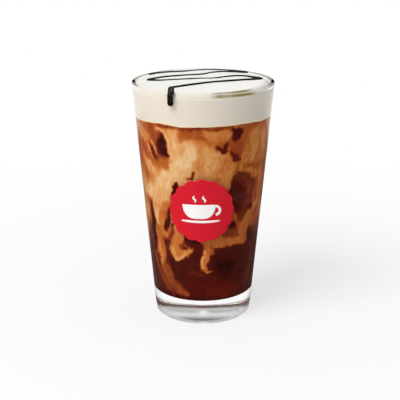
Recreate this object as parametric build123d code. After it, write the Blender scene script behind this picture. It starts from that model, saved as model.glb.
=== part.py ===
"""Iced coffee in a conical pint glass, with a layer of cold foam up to the brim.

Three solids, one STEP file each:
  glass   the tumbler, with a thick clear floor, a rounded heel and a shallow recess under the foot
  coffee  the milky drink, from the glass's inner floor up to the foam
  foam    the cold foam, from the drink up to a little over the brim, with a rounded shoulder

Millimetres, +Z up. The origin is the centre of the foot, on the surface that the glass stands on.
Each solid is a section in the XZ plane, drawn as (radius, height), turned about Z.
"""

from build123d import *
import os

# Glass, outside
glass_height = 151.0
rim_radius = 44.45
foot_radius = 30.15
heel_radius = 4.2
recess_radius = 19.5
recess_depth = 1.4

# Glass, inside
rim_wall = 2.8
floor_wall = 5.6
floor_thickness = 15.0
floor_corner_radius = 7.0
lip_radius = rim_wall * 0.18

# Contents
foam_rise = 1.2
foam_depth = 22.7
foam_shoulder_radius = 4.0


def radius_between(low, high, z):
    """Radius at height z on the straight line between two (radius, height) points."""
    share = (z - low[1]) / (high[1] - low[1])
    return low[0] + (high[0] - low[0]) * share


# The outer and inner cones, each by its (radius, height) at the bottom and at the brim
outer_low = (foot_radius, 0.0)
outer_high = (rim_radius, glass_height)
inner_low = (radius_between(outer_low, outer_high, floor_thickness) - floor_wall, floor_thickness)
inner_high = (rim_radius - rim_wall, glass_height)

foam_top = glass_height + foam_rise
coffee_level = foam_top - foam_depth


def cone_section(low, high, top):
    """Half section of a cone under a flat top, its side running through (radius, height) points."""
    side_top = (radius_between(low, high, top), top)
    return make_face(Polyline((0, low[1]), low, side_top, (0, top), close=True))


def rounded(section, corner, radius):
    """The section with the corner nearest to a (radius, height) point rounded."""
    nearest = section.vertices().sort_by_distance((*corner, 0))[0]
    return fillet(nearest, radius)


def cavity_section(top):
    """Half section of the room inside the glass, with the rounded corner of its floor."""
    return rounded(cone_section(inner_low, inner_high, top), inner_low, floor_corner_radius)


def recess_section():
    """Half section of the shallow dome that is pressed up into the foot."""
    dome = ThreePointArc(
        (recess_radius, 0),
        (0, recess_depth),
        (-recess_radius, 0),
    )
    whole = make_face(dome + Line((-recess_radius, 0), (recess_radius, 0)))
    return whole & Pos(recess_radius, 0) * Rectangle(2 * recess_radius, glass_height)


def glass_section():
    """Half section of the tumbler, with its heel and both edges of its lip rounded."""
    wall = cone_section(outer_low, outer_high, glass_height)
    wall = rounded(wall, outer_low, heel_radius)
    wall = wall - cavity_section(glass_height) - recess_section()
    wall = rounded(wall, outer_high, lip_radius)
    return rounded(wall, inner_high, lip_radius)


def foam_section():
    """Half section of the foam: a slice of the inner cone, its top edge rounded clear of the lip."""
    low = (radius_between(inner_low, inner_high, coffee_level), coffee_level)
    edge = (radius_between(inner_low, inner_high, foam_top), foam_top)
    return rounded(cone_section(low, inner_high, foam_top), edge, foam_shoulder_radius)


def turned(section):
    """Solid of revolution about Z from a half section drawn as (radius, height)."""
    return revolve(Plane.XZ * section, Axis.Z, 360)


parts = {
    "glass": turned(glass_section()),
    "coffee": turned(cavity_section(coffee_level)),
    "foam": turned(foam_section()),
}

os.makedirs("parts", exist_ok=True)
for node, shape in parts.items():
    export_step(shape, f"parts/{node}.step")
    print(node, "volume", round(shape.volume), "mm3")
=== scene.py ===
"""Iced coffee in a conical pint glass, with cold foam up to the brim and a line of chocolate sauce.

The pieces are the tumbler, the drink with its milk swirls, the ice in it, the cold foam, the sauce
and a plain printed mark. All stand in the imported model's own frame: metres, +Z up, with the
origin at the centre of the foot.
"""

import math

import bmesh
import bpy
import numpy as np
from mathutils import Euler, Matrix, Vector


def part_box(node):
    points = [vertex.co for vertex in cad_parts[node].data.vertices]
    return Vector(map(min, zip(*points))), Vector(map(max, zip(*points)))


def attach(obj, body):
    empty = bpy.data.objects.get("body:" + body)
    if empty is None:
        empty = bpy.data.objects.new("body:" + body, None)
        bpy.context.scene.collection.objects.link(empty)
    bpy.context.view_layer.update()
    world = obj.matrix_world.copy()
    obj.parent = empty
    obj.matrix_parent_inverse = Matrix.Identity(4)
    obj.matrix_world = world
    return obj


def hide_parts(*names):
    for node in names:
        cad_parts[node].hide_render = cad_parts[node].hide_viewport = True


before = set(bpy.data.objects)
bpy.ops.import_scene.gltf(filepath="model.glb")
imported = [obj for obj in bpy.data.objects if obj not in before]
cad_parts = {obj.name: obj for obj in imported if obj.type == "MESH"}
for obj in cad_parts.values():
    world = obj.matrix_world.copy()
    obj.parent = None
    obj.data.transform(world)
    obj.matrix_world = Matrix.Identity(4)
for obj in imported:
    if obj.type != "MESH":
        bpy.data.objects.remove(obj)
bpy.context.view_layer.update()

bl_info = {
    "name": "Iced coffee with cold foam",
    "version": (1, 0, 0),
    "blender": (4, 5, 0),
    "location": "View3D > Sidebar > Iced coffee",
    "description": "Builds a pint glass of iced coffee around its packed model",
    "category": "Add Mesh",
}

MM = 0.001
BODY = "root"

glass_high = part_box("glass")[1]
coffee_low, coffee_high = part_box("coffee")
foam_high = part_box("foam")[1]
FOAM_SHOULDER = 4.0 * MM
FOAM_WIDEST = foam_high.z - FOAM_SHOULDER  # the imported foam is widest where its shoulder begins


def shade(red, green, blue):
    """Linear colour from red, green and blue as a paint chart gives them, 0 to 255."""
    parts = [value / 255 for value in (red, green, blue)]
    return tuple(p / 12.92 if p <= 0.04045 else ((p + 0.055) / 1.055) ** 2.4 for p in parts)


# ---------------------------------------------------------------------------
# Settings
# ---------------------------------------------------------------------------


def length(name, description, default):
    """A size in metres that a user may change."""
    return bpy.props.FloatProperty(
        name=name, description=description, default=default, min=0, precision=5,
        subtype="DISTANCE", unit="LENGTH",
    )


def colour(name, description, default):
    """A colour that a user may change."""
    return bpy.props.FloatVectorProperty(
        name=name, description=description, default=default, min=0, max=1, size=3,
        subtype="COLOR",
    )


class TumblerSettings(bpy.types.PropertyGroup):
    """Sizes and colour of the glass."""

    foot_radius: length("Foot radius", "Outer radius where the glass stands", 30.15 * MM)
    rim_radius: length("Rim radius", "Outer radius at the brim", glass_high.x + 0.05 * MM)
    heel_rounding: length("Heel rounding", "Rounding of the foot's outer edge", 4.2 * MM)
    lip_rounding: length("Lip rounding", "Rounding of both edges of the lip", 0.5 * MM)
    recess_radius: length("Recess radius", "Radius of the hollow under the foot", 19.5 * MM)
    recess_depth: length("Recess depth", "Height of the hollow under the foot", 1.4 * MM)
    floor_rounding: length("Floor rounding", "Rounding of the inner floor's corner", 7.0 * MM)
    glare: colour("Glare", "Share of head-on reflection that the glass keeps", (0.06, 0.06, 0.06))
    tint: colour("Tint", "Colour that the glass gives to light", (0.985, 0.99, 0.985))
    frost: bpy.props.FloatProperty(
        name="Frost", description="How rough the lowest part of the foot is", default=0.28,
        min=0, max=1,
    )


class CoffeeSettings(bpy.types.PropertyGroup):
    """Colours of the drink and how its side lies in the wall."""

    dark: colour("Coffee", "The darkest coffee", shade(40, 12, 8))
    red_brown: colour("Red-brown", "Coffee with light behind it", shade(86, 29, 20))
    amber: colour("Amber", "Coffee with a little milk", shade(157, 78, 31))
    tan: colour("Tan", "Milky coffee", shade(210, 153, 92))
    cream: colour("Cream", "Milk before it mixes", shade(234, 204, 160))
    into_wall: length("Into the wall", "How far the side reaches into the wall", 0.15 * MM)
    relief: length("Relief", "How far milk stands out from coffee", 0.35 * MM)
    swirl_seed: bpy.props.IntProperty(
        name="Swirl seed", description="Chooses the swirls round the back", default=7, min=0
    )


class FoamSettings(bpy.types.PropertyGroup):
    """Sizes and colours of the cold foam."""

    shoulder: length("Shoulder", "Rounding of the foam's top edge", FOAM_SHOULDER)
    top_height: length("Top height", "Height of the foam's top", foam_high.z - 1.0 * MM)
    wave: length("Underside wave", "How uneven the foam's underside is", 0.3 * MM)
    into_wall: length("Into the wall", "How far the side reaches into the wall", 0.6 * MM)
    top: colour("Top", "The foam's top", shade(250, 248, 244))
    side: colour("Side", "The foam seen through the glass", shade(224, 214, 200))
    # A cream tint with a painted highlight along the foam's lower edge
    edge_tint_and_highlight_colour: colour("Cream edge and painted highlight", "The foam where it meets the drink", shade(240, 220, 184))
    # Painted shade: a grey-olive band on the shoulder that stands in for the shadowed gap between the foam
    # and the lip
    lip_shade: colour("Painted shade under lip", "The foam's shoulder where it meets the lip", shade(130, 120, 60))


class SauceSettings(bpy.types.PropertyGroup):
    """Sizes and colour of the chocolate sauce."""

    bead_width: length("Bead width", "Full width of the sauce's line", 3.4 * MM)
    bead_height: length("Bead height", "How far the line stands up from the foam", 0.9 * MM)
    drip_width: length("Drip width", "Width of the drip down the wall", 3.7 * MM)
    chocolate: colour("Chocolate", "The sauce", shade(14, 7, 4))


class IceSettings(bpy.types.PropertyGroup):
    """Sizes and colours of the ice in the drink."""

    edge: length("Edge", "Length of a cube's edge", 22 * MM)
    sharpness: bpy.props.FloatProperty(
        name="Sharpness", description="How square the cubes still are, with 2 for a ball",
        default=4.5, min=2, max=20,
    )
    into_wall: length("Into the wall", "How far a cube presses past the drink's side", 0.75 * MM)
    clear: colour("Clear ice", "Coffee seen through clear ice", shade(54, 11, 6))
    frost: colour("Frosted ice", "Ice that has a film of milk", shade(100, 40, 24))


class MarkSettings(bpy.types.PropertyGroup):
    """Sizes and colours of the plain printed mark."""

    width: length("Width", "Width of the red seal", 41.5 * MM)
    middle_height: length("Middle height", "Height of the seal's middle", 78 * MM)
    red: colour("Red", "The seal's enamel", shade(214, 22, 42))
    white: colour("White", "The cup's enamel", shade(250, 248, 246))


class StageSettings(bpy.types.PropertyGroup):
    """Floor, light, dark cards and grey mat."""

    floor_radius: length("Floor radius", "Radius of the floor", 3.2)
    floor_colour: colour("Floor", "The floor", (0.95, 0.95, 0.95))
    room_light: bpy.props.FloatProperty(
        name="Room light", description="Strength of the light from all round", default=0.42, min=0
    )
    key_power: bpy.props.FloatProperty(
        name="Key lamp", description="Power of the large lamp at the left", default=75.0, min=0,
        subtype="POWER", unit="POWER",
    )
    card_width: length("Card width", "Width of each dark card behind the glass", 0.5)
    card_height: length("Card height", "Height of each dark card", 0.16)
    card_low: length("Card's lower edge", "Height of each dark card's lower edge", 0.15)
    mat_inside: length("Mat's inner edge", "Radius of the hole in the grey mat", 34 * MM)
    mat_outside: length("Mat's outer edge", "Radius of the grey mat", 0.50)


# ---------------------------------------------------------------------------
# Lines, meshes and noise
# ---------------------------------------------------------------------------


def towards(vector):
    """The unit vector that points the same way."""
    return vector / np.linalg.norm(vector)


def rounded_outline(corners, steps):
    """Points of a line through corners given as (radius, height, rounding), with steps in each."""
    points = []
    last = len(corners) - 1
    for i, (radius, height, rounding) in enumerate(corners):
        here = np.array((radius, height))
        if rounding == 0 or i in (0, last):
            points.append(here)
            continue
        back = towards(np.array(corners[i - 1][:2]) - here)
        ahead = towards(np.array(corners[i + 1][:2]) - here)
        half = math.acos(max(-1, min(1, back @ ahead))) / 2
        reach = rounding / math.tan(half)
        centre = here + towards(back + ahead) * rounding / math.sin(half)
        start, end = here + back * reach - centre, here + ahead * reach - centre
        turn = math.atan2(start[0] * end[1] - start[1] * end[0], start @ end)
        for k in range(steps + 1):
            a = turn * k / steps
            points.append(centre + (
                start[0] * math.cos(a) - start[1] * math.sin(a),
                start[0] * math.sin(a) + start[1] * math.cos(a),
            ))
    return np.array(points)


def divided(outline, longest, support=0.0):
    """The outline with its long runs divided.

    A support point near each end of a run keeps its shading straight.
    """
    points = [outline[0]]
    for start, end in zip(outline[:-1], outline[1:]):
        run = np.linalg.norm(end - start)
        shares = list(np.linspace(0, 1, max(1, math.ceil(run / longest)) + 1)[1:])
        if support and run > 4 * support:
            shares = sorted({support / run, 1 - support / run, *shares})
        points += [start + (end - start) * share for share in shares]
    return np.array(points)


def new_object(name, points, faces):
    """A mesh object from points and faces."""
    mesh = bpy.data.meshes.new(name)
    mesh.from_pydata([tuple(p) for p in points], [], faces)
    thing = bpy.data.objects.new(name, mesh)
    bpy.context.scene.collection.objects.link(thing)
    return thing


def new_piece(name, points, faces):
    """A smooth mesh object, with its faces turned outwards."""
    piece = new_object(name, points, faces)
    mesh = piece.data
    work = bmesh.new()
    work.from_mesh(mesh)
    bmesh.ops.recalc_face_normals(work, faces=work.faces)
    work.to_mesh(mesh)
    work.free()
    mesh.validate()
    mesh.polygons.foreach_set("use_smooth", [True] * len(mesh.polygons))
    return piece


def band(low, high, around):
    """Faces between two rings of points, given by the number of each ring's first point."""
    turns = [(k, (k + 1) % around) for k in range(around)]
    return [(low + k, low + after, high + after, high + k) for k, after in turns]


def turned_grid(outline, around):
    """Points and faces of an outline of (radius, height) turned about Z, with its ends on the axis."""
    angles = np.arange(around) * 2 * math.pi / around
    rings = outline[1:-1]
    points = [(0.0, 0.0, outline[0][1])]
    for radius, height in rings:
        points += [(radius * math.sin(a), -radius * math.cos(a), height) for a in angles]
    points.append((0.0, 0.0, outline[-1][1]))
    last = len(points) - 1
    faces = []
    for k in range(around):
        nxt = (k + 1) % around
        faces.append((0, 1 + nxt, 1 + k))
        for ring in range(len(rings) - 1):
            low, high = 1 + ring * around, 1 + (ring + 1) * around
            faces.append((low + k, low + nxt, high + nxt, high + k))
        top = 1 + (len(rings) - 1) * around
        faces.append((last, top + k, top + nxt))
    return np.array(points), faces


NOISE_TABLE = 256
NOISE_REACH = 1.6  # brings the noise from its own range to about -1 to 1


def lumps(points, size, seed):
    """Smooth noise from about -1 to 1 at each of some points, with lumps of about that size."""
    draw = np.random.default_rng(seed)
    order = draw.permutation(NOISE_TABLE)
    slopes = draw.normal(size=(NOISE_TABLE, 3))
    slopes /= np.linalg.norm(slopes, axis=1, keepdims=True)
    place = np.asarray(points) / size
    cell = np.floor(place).astype(int)
    inside = place - cell
    ease = inside**3 * (inside * (inside * 6 - 15) + 10)
    total = np.zeros(len(place))
    for corner in np.ndindex(2, 2, 2):
        at = cell + corner
        pick = order[at[:, 0] % NOISE_TABLE]
        pick = order[(pick + at[:, 1]) % NOISE_TABLE]
        pick = order[(pick + at[:, 2]) % NOISE_TABLE]
        weight = np.prod(np.where(corner, ease, 1 - ease), axis=1)
        total += weight * np.einsum("ij,ij->i", slopes[pick], inside - corner)
    return total * NOISE_REACH


def cloud(points, size, seed, layers=3):
    """Layers of noise, each half the size and half the height of the one before."""
    return sum(lumps(points, size=size / 2**n, seed=seed + n) / 2**n for n in range(layers))


def ease_between(low, high, value):
    """0 at low, 1 at high, and a smooth change between them, whichever of the two is the larger."""
    share = np.clip((value - low) / (high - low), 0, 1)
    return share * share * (3 - 2 * share)


def give_values(piece, name, values):
    """Stores one number a point on the piece, for its material to read."""
    store = piece.data.attributes.new(name, "FLOAT", "POINT")
    store.data.foreach_set("value", np.asarray(values, np.float32))


# ---------------------------------------------------------------------------
# Sizes that pieces share
# ---------------------------------------------------------------------------


def outer_radius(height):
    """Radius of the glass's outer wall."""
    sizes = bpy.context.scene.iced_coffee_tumbler
    share = height / glass_high.z
    return sizes.foot_radius + (sizes.rim_radius - sizes.foot_radius) * share


def inner_radius(height):
    """Radius of the glass's inner wall, from the drink's and the foam's own sizes."""
    slope = (foam_high.x - coffee_high.x) / (FOAM_WIDEST - coffee_high.z)
    return coffee_high.x + slope * (height - coffee_high.z)


def wall_slant():
    """Angle of the outer wall from upright."""
    return math.atan2(outer_radius(glass_high.z) - outer_radius(0), glass_high.z)


def on_circle(angle, radius, height):
    """A point at a radius and height. The angle is in degrees to the right of the front."""
    turn = math.radians(angle)
    return np.array((radius * math.sin(turn), -radius * math.cos(turn), height))


def on_wall(angle, height, out):
    """A point that far out from the outer wall."""
    return on_circle(angle, outer_radius(height) + out, height)


# ---------------------------------------------------------------------------
# Materials
# ---------------------------------------------------------------------------


class Recipe:
    """A material or world in the making: adds nodes and links them."""

    def __init__(self, owner):
        owner.use_nodes = True
        self.tree = owner.node_tree
        self.tree.nodes.clear()

    def add(self, kind, settings=None, **inputs):
        """A new node. An input given another node's socket is linked, and any other value is set."""
        node = self.tree.nodes.new(kind)
        for name, value in (settings or {}).items():
            setattr(node, name, value)
        for name, value in inputs.items():
            self.feed(node, name.replace("_", " "), value)
        return node

    def feed(self, node, name, value):
        """Links or sets one input, named or numbered."""
        socket = node.inputs[int(name[1:])] if name[:1] == "#" else node.inputs[name]
        if isinstance(value, bpy.types.NodeSocket):
            self.tree.links.new(value, socket)
        elif isinstance(value, (tuple, list)) and len(value) == 3 and socket.type == "RGBA":
            socket.default_value = (*value, 1)
        else:
            socket.default_value = value

    def number(self, operation, first, second, third=None, clamp=False):
        """The result of a sum with numbers."""
        node = self.tree.nodes.new("ShaderNodeMath")
        node.operation = operation
        node.use_clamp = clamp
        for i, value in enumerate((first, second, third)):
            if value is not None:
                self.feed(node, f"#{i}", value)
        return node.outputs[0]

    def blend(self, share, first, second):
        """One colour over another."""
        node = self.tree.nodes.new("ShaderNodeMix")
        node.data_type = "RGBA"
        self.feed(node, "#0", share)
        self.feed(node, "#6", first)
        self.feed(node, "#7", second)
        return node.outputs[2]

    def either(self, share, first, second):
        """The first shader where the share is 0, and the second where it is 1."""
        node = self.tree.nodes.new("ShaderNodeMixShader")
        for i, value in enumerate((share, first, second)):
            self.feed(node, f"#{i}", value)
        return node.outputs[0]

    def noise(self, place, scale, detail, roughness=0.5, warp=0.0):
        """Noise at a place, from 0 to 1."""
        return self.add(
            "ShaderNodeTexNoise", Vector=place, Scale=scale, Detail=detail, Roughness=roughness,
            Distortion=warp,
        ).outputs[0]

    def place(self, stretch=(1, 1, 1)):
        """The point on the piece, in metres, stretched by an amount in each direction."""
        return self.add("ShaderNodeMapping", Vector=self.spot(), Scale=stretch).outputs[0]

    def spot(self):
        """The point on the piece, in metres."""
        return self.add("ShaderNodeTexCoord").outputs["Object"]

    def height(self):
        """Height of the point on the piece, in metres."""
        return self.add("ShaderNodeSeparateXYZ", Vector=self.spot()).outputs["Z"]

    def sway(self, value, noise, depth, clamp=False):
        """The value, pushed up and down by noise of that depth."""
        return self.number(
            "MULTIPLY_ADD", self.number("SUBTRACT", noise, 0.5), depth, value, clamp=clamp
        )

    def value(self, name):
        """A number stored on the piece's points."""
        return self.add("ShaderNodeAttribute", {"attribute_name": name}).outputs["Fac"]

    def ramp(self, share, stops):
        """A colour from a scale of (position, colour) stops."""
        node = self.add("ShaderNodeValToRGB", Fac=share)
        scale = node.color_ramp
        while len(scale.elements) < len(stops):
            scale.elements.new(0.5)
        for mark, (position, paint) in zip(scale.elements, stops):
            mark.position = position
            mark.color = (*paint, 1)
        return node.outputs[0]

    def step(self, low, high, value):
        """0 below low, 1 above high, smooth between."""
        node = self.add("ShaderNodeMapRange", {"interpolation_type": "SMOOTHSTEP"}, Value=value)
        node.inputs[1].default_value, node.inputs[2].default_value = low, high
        return node.outputs[0]

    def bump(self, height, strength, distance):
        """A bumpy surface direction."""
        return self.add(
            "ShaderNodeBump", Height=height, Strength=strength, Distance=distance
        ).outputs[0]

    def finish(self, surface, kind="ShaderNodeOutputMaterial"):
        """Sends the surface to the output."""
        self.add(kind, Surface=surface)


FROST_FADES_AT = 4.4 * MM  # heights on the foot
FROST_FULL_BELOW = 3.0 * MM


def clear_glass(settings):
    """Clear glass that lets lamps reach what is in it, frosted low on the foot."""
    material = bpy.data.materials.new("clear_pressed_glass")
    mix = Recipe(material)
    ripple = mix.noise(mix.place(), scale=42, detail=2.0, roughness=0.45)
    pressed = mix.step(FROST_FADES_AT, FROST_FULL_BELOW, mix.height())
    glass = mix.add(
        "ShaderNodeBsdfPrincipled", Base_Color=tuple(settings.tint),
        Roughness=mix.number("MULTIPLY", pressed, settings.frost), IOR=1.5,
        Transmission_Weight=1.0, Specular_Tint=tuple(settings.glare),
        Normal=mix.bump(ripple, strength=0.12, distance=0.4 * MM),
    )
    open_way = mix.add("ShaderNodeBsdfTransparent", Color=(0.97, 0.97, 0.97))
    path = mix.add("ShaderNodeLightPath")
    through = mix.number("MAXIMUM", path.outputs["Is Shadow Ray"], path.outputs["Is Diffuse Ray"])
    mix.finish(mix.either(through, glass.outputs[0], open_way.outputs[0]))
    return material


def coffee_paint(mix, settings):
    """Colour of the drink's side, from how milky and how warm each point of the piece is."""
    streaks = mix.noise(mix.place((1, 1, 0.32)), scale=260, detail=4.0, roughness=0.6, warp=0.6)
    clouds = mix.noise(mix.place(), scale=120, detail=3.0, roughness=0.55, warp=0.8)
    milk = mix.sway(mix.value("milk"), streaks, depth=0.08)
    milk = mix.sway(milk, clouds, depth=0.10, clamp=True)
    plain = mix.ramp(milk, [
        (0.0, tuple(settings.dark)), (0.26, tuple(settings.red_brown)),
        (0.40, shade(120, 51, 25)), (0.53, tuple(settings.amber)), (0.66, shade(189, 108, 46)),
        (0.82, tuple(settings.tan)), (1.0, tuple(settings.cream)),
    ])
    warm = mix.ramp(milk, [
        (0.0, shade(44, 10, 8)), (0.26, shade(100, 27, 19)), (0.53, shade(170, 79, 36)),
        (0.75, shade(203, 121, 64)), (1.0, shade(228, 172, 124)),
    ])
    return mix.blend(mix.value("warmth"), plain, warm)


def milky_coffee(settings):
    """Coffee with milk swirling in it. The piece stores how milky and how warm each point is."""
    material = bpy.data.materials.new("milky_coffee")
    mix = Recipe(material)
    surface = mix.add(
        "ShaderNodeBsdfPrincipled", Base_Color=coffee_paint(mix, settings), Roughness=0.55,
        Specular_IOR_Level=0.0,
    )
    mix.finish(surface.outputs[0])
    return material


def cold_foam(settings):
    """Fine milk foam, whiter on top, with a cream tint and a painted highlight where it meets the drink, and
    painted shade on its shoulder under the lip.
    """
    material = bpy.data.materials.new("cold_milk_foam")
    mix = Recipe(material)
    place = mix.place()
    upper = mix.step(glass_high.z - 3 * MM, glass_high.z, mix.height())
    body = mix.blend(upper, tuple(settings.side), tuple(settings.top))
    # Cream tint with a painted highlight where the foam meets the drink
    body = mix.blend(mix.value("edge_tint_and_highlight"), body, tuple(settings.edge_tint_and_highlight_colour))
    # Painted shade on the shoulder under the lip
    body = mix.blend(mix.value("lip_shade"), body, tuple(settings.lip_shade))
    fleck = mix.noise(place, scale=900, detail=2.0)
    body = mix.blend(mix.number("MULTIPLY", fleck, 0.10), body, shade(206, 196, 176))
    cells = mix.add("ShaderNodeTexVoronoi", {"feature": "SMOOTH_F1"}, Vector=place, Scale=1400.0)
    bubbles = mix.add("ShaderNodeTexVoronoi", {"feature": "F1"}, Vector=place, Scale=420.0)
    rough = mix.number("MULTIPLY_ADD", bubbles.outputs["Distance"], 0.5, cells.outputs["Distance"])
    surface = mix.add(
        "ShaderNodeBsdfPrincipled", Base_Color=body, Roughness=0.6, Specular_IOR_Level=0.25,
        Subsurface_Weight=0.25, Subsurface_Scale=2 * MM, Subsurface_Radius=(1.0, 0.8, 0.6),
        Normal=mix.bump(rough, strength=0.25, distance=0.15 * MM),
    )
    mix.finish(surface.outputs[0])
    return material


def chocolate(settings):
    """Glossy dark chocolate sauce."""
    material = bpy.data.materials.new("chocolate_sauce")
    mix = Recipe(material)
    place = mix.place()
    patch = mix.noise(place, scale=380, detail=2.0)
    paint = mix.blend(mix.step(0.5, 0.75, patch), tuple(settings.chocolate), shade(30, 14, 8))
    rough = mix.number("MULTIPLY_ADD", mix.noise(place, scale=700, detail=2.0), 0.12, 0.10)
    uneven = mix.noise(place, scale=500, detail=1.0)
    surface = mix.add(
        "ShaderNodeBsdfPrincipled", Base_Color=paint, Roughness=rough, Specular_IOR_Level=0.0,
        Coat_Weight=0.2, Coat_Roughness=0.12,
        Normal=mix.bump(uneven, strength=0.1, distance=0.1 * MM),
    )
    mix.finish(surface.outputs[0])
    return material


def sunk_ice(settings, drink):
    """Ice against the wall, with dark coffee behind it. It takes the drink's colour at its rim."""
    material = bpy.data.materials.new("ice_in_coffee")
    mix = Recipe(material)
    film = mix.noise(mix.place((1, 1, 0.4)), scale=180, detail=4.0, roughness=0.6, warp=1.2)
    inside = mix.blend(mix.step(0.38, 0.72, film), tuple(settings.clear), tuple(settings.frost))
    crack = mix.add("ShaderNodeTexVoronoi", {"feature": "DISTANCE_TO_EDGE"},
                    Vector=mix.place((1, 1, 0.6)), Scale=105.0).outputs["Distance"]
    crack = mix.number("MULTIPLY", mix.step(0.05, 0.0, crack), 0.35)
    inside = mix.blend(crack, inside, shade(124, 62, 36))
    paint = mix.blend(mix.value("clear"), coffee_paint(mix, drink), inside)
    surface = mix.add(
        "ShaderNodeBsdfPrincipled", Base_Color=paint, Roughness=0.35, Specular_IOR_Level=0.05,
    )
    mix.finish(surface.outputs[0])
    return material


def enamel(name, paint):
    """Printed enamel with a faintly uneven coat."""
    material = bpy.data.materials.new(name)
    mix = Recipe(material)
    place = mix.place()
    coat = mix.noise(place, scale=240, detail=3.0)
    grain = mix.noise(place, scale=1500, detail=2.0)
    darker = tuple(p * 0.86 for p in paint)
    surface = mix.add(
        "ShaderNodeBsdfPrincipled", Base_Color=mix.blend(coat, tuple(paint), darker),
        Roughness=0.38, Specular_IOR_Level=0.12,
        Normal=mix.bump(grain, strength=0.08, distance=0.05 * MM),
    )
    mix.finish(surface.outputs[0])
    return material


# ---------------------------------------------------------------------------
# Pieces
# ---------------------------------------------------------------------------


def place_piece(piece, material, slot, *nodes):
    """Gives the piece its material, ties it to the frame and hides the nodes that it stands for."""
    piece.data.materials.append(material)
    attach(piece, BODY)
    if nodes:
        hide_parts(*nodes)


def tumbler_outline(sizes):
    """Half section of the glass, from the middle of its foot round to the middle of its floor."""
    rim = glass_high.z
    floor = coffee_low.z
    shares = [k / 8 for k in range(8)]
    dome = [(sizes.recess_radius * k, sizes.recess_depth * (1 - k**2)) for k in shares]
    wall = rounded_outline([
        (sizes.recess_radius, 0.0, 0),
        (sizes.foot_radius, 0.0, sizes.heel_rounding),
        (sizes.rim_radius, rim, sizes.lip_rounding),
        (inner_radius(rim), rim, sizes.lip_rounding),
        (inner_radius(floor), floor, sizes.floor_rounding),
        (0.0, floor, 0),
    ], steps=12)
    return np.vstack([dome, divided(wall, longest=9 * MM, support=0.35 * MM)])


def make_tumbler(settings):
    """The glass, as one closed skin."""
    points, faces = turned_grid(tumbler_outline(settings), around=256)
    piece = new_piece("tumbler", points, faces)
    place_piece(piece, clear_glass(settings), "clear_glass", "glass")


STREAK_DEPTH = 0.045


class Swirls:
    """An amount at each point of the drink's side, painted in strokes as poured milk sinks."""

    def __init__(self, points):
        self.points = points / MM
        self.angle = np.degrees(np.arctan2(points[:, 0], -points[:, 1]))
        self.height = points[:, 2] / MM
        self.round = np.vectorize(inner_radius)(points[:, 2]) / MM * math.pi / 180
        tall = self.points * (1, 1, 0.55)
        self.across = 1.3 * cloud(self.points, size=14, seed=11, layers=2)
        self.across += 0.9 * cloud(tall, size=4.6, seed=21, layers=2)
        self.up = 1.2 * cloud(self.points, size=16, seed=31, layers=2)
        self.up += 0.7 * cloud(tall, size=4.6, seed=41, layers=2)
        self.ragged = 0.8 * cloud(self.points * (1, 1, 0.7), size=2.2, seed=51, layers=2)
        self.melt = np.clip(1 + 1.1 * cloud(self.points, size=8, seed=61, layers=2), 0.45, 2.2)
        self.amount = np.zeros(len(points))
        self.count = 0

    def stroke(self, value, soft, *route, strength=1.0):
        """Brings the amount to value along a route of (angle, height, half width)."""
        if len(route) == 1:
            route = (route[0], route[0])
        angles, heights, widths = np.array(route, float).T
        middle = (angles.min() + angles.max()) / 2
        margin = widths.max() + 2 * soft + 4
        turn = (self.angle - middle + 180) % 360 - 180
        here = np.flatnonzero(
            (np.abs(turn) < np.ptp(angles) / 2 + margin / self.round)
            & (self.height > heights.min() - margin) & (self.height < heights.max() + margin)
        )
        turn, round_here = turn[here] + middle, self.round[here]
        beyond = np.full(len(here), 1e3)
        along, beside, passed = np.zeros(len(here)), np.zeros(len(here)), 0.0
        for (a0, h0, w0), (a1, h1, w1) in zip(route[:-1], route[1:]):
            side = (turn - (a0 + a1) / 2) * round_here + self.across[here]
            rise = self.height[here] - (h0 + h1) / 2 + self.up[here]
            run_side, run_rise = (a1 - a0) * round_here, h1 - h0
            size = np.maximum(np.hypot(run_side, run_rise), 1e-6)
            share = np.clip((side * run_side + rise * run_rise) / size**2 + 0.5, 0, 1)
            side, rise = side - (share - 0.5) * run_side, rise - (share - 0.5) * run_rise
            past = np.hypot(side, rise) - (w0 + (w1 - w0) * share)
            nearer = past < beyond
            beyond = np.where(nearer, past, beyond)
            along = np.where(nearer, passed + share * size, along)
            beside = np.where(nearer, (side * run_rise - rise * run_side) / size, beside)
            passed += size.mean()
        self.count += 1
        edge = soft * self.melt[here] / 2
        cover = ease_between(0, 1, (edge - beyond - self.ragged[here]) / (2 * edge)) * strength
        streaks = np.stack([beside / 1.5, along / 10, np.full(len(here), 3.7 * self.count)], 1)
        tone = value + STREAK_DEPTH * cloud(streaks, size=1, seed=5, layers=2)
        self.amount[here] += (tone - self.amount[here]) * cover


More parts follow.
